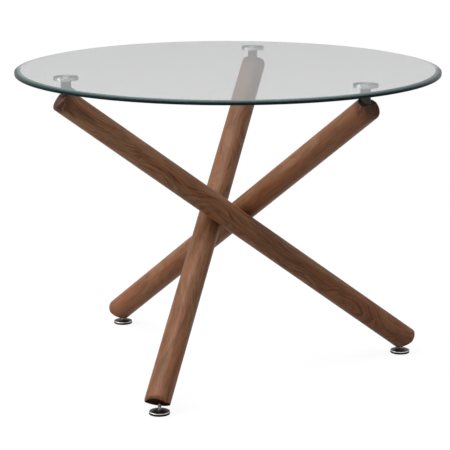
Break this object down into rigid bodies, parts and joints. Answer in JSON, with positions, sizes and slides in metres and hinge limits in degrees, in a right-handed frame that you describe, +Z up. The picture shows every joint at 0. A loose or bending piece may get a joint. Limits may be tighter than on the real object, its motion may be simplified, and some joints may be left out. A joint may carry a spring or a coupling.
{
  "type": "round dining table",
  "caption": "Round dining table: bevelled clear glass top on crossed, leaning round wooden legs, each with a steel post and disc under the glass and a levelling foot.",
  "frame": {"origin": "on the floor, under the middle of the round glass", "axes": "+Z up; -Y towards the front leg's foot, +Y towards the same leg's top"},
  "size_m": [1.0599, 1.06, 0.762],
  "materials": {
    "clear_glass": "clear polished float glass",
    "walnut_wood": "walnut stain, satin lacquer",
    "polished_steel": "polished",
    "satin_steel": "dark satin, turned",
    "zinc_steel": "zinc plated",
    "chrome": "bright chrome",
    "black_chrome": "black dome, bright turned band",
    "black_plastic": "moulded, matt"
  },
  "bodies": {
    "table": {"glass_top": "clear_glass", "front_leg": "walnut_wood", "front_glass_disc": "polished_steel", "front_post": "satin_steel", "front_top_bolt": "zinc_steel", "front_top_washer": "zinc_steel", "front_foot_insert": "zinc_steel", "front_crossing_bolt": "zinc_steel", "front_crossing_washer": "zinc_steel", "front_crossing_insert": "zinc_steel", "front_crossing_plug": "walnut_wood", "front_top_plug": "walnut_wood", "right_leg": "walnut_wood", "right_glass_disc": "polished_steel", "right_post": "satin_steel", "right_top_bolt": "zinc_steel", "right_top_washer": "zinc_steel", "right_foot_insert": "zinc_steel", "right_crossing_bolt": "zinc_steel", "right_crossing_washer": "zinc_steel", "right_crossing_insert": "zinc_steel", "right_crossing_plug": "walnut_wood", "right_top_plug": "walnut_wood", "left_leg": "walnut_wood", "left_glass_disc": "polished_steel", "left_post": "satin_steel", "left_top_bolt": "zinc_steel", "left_top_washer": "zinc_steel", "left_foot_insert": "zinc_steel", "left_crossing_bolt": "zinc_steel", "left_crossing_washer": "zinc_steel", "left_crossing_insert": "zinc_steel", "left_crossing_plug": "walnut_wood", "left_top_plug": "walnut_wood"},
    "front_foot_base": {"front_foot_cup": "black_chrome", "front_foot_pad": "black_plastic"},
    "front_foot_screw": {"front_levelling_screw": "chrome"},
    "right_foot_base": {"right_foot_cup": "black_chrome", "right_foot_pad": "black_plastic"},
    "right_foot_screw": {"right_levelling_screw": "chrome"},
    "left_foot_base": {"left_foot_cup": "black_chrome", "left_foot_pad": "black_plastic"},
    "left_foot_screw": {"left_levelling_screw": "chrome"}
  },
  "joints": [
    {"name": "front_foot_height", "type": "slide", "parent": "table", "child": "front_foot_base", "axis": [0, 0, 1], "range_m": [-0.014, 0.0035]},
    {"name": "front_screw_turn", "type": "hinge", "parent": "front_foot_base", "child": "front_foot_screw", "pos_m": [-0.04357, -0.455, 0.0274], "axis": [0, 0, 1], "range_deg": [-4032, 1008]},
    {"name": "right_foot_height", "type": "slide", "parent": "table", "child": "right_foot_base", "axis": [0, 0, 1], "range_m": [-0.014, 0.0035]},
    {"name": "right_screw_turn", "type": "hinge", "parent": "right_foot_base", "child": "right_foot_screw", "pos_m": [0.41583, 0.18976, 0.0274], "axis": [0, 0, 1], "range_deg": [-4032, 1008]},
    {"name": "left_foot_height", "type": "slide", "parent": "table", "child": "left_foot_base", "axis": [0, 0, 1], "range_m": [-0.014, 0.0035]},
    {"name": "left_screw_turn", "type": "hinge", "parent": "left_foot_base", "child": "left_foot_screw", "pos_m": [-0.37226, 0.26524, 0.0274], "axis": [0, 0, 1], "range_deg": [-4032, 1008]}
  ],
  "couplings": [
    {"joint": "front_foot_height", "follows": "front_screw_turn", "m_per_rad": 0.00019894},
    {"joint": "right_foot_height", "follows": "right_screw_turn", "m_per_rad": 0.00019894},
    {"joint": "left_foot_height", "follows": "left_screw_turn", "m_per_rad": 0.00019894}
  ]
}
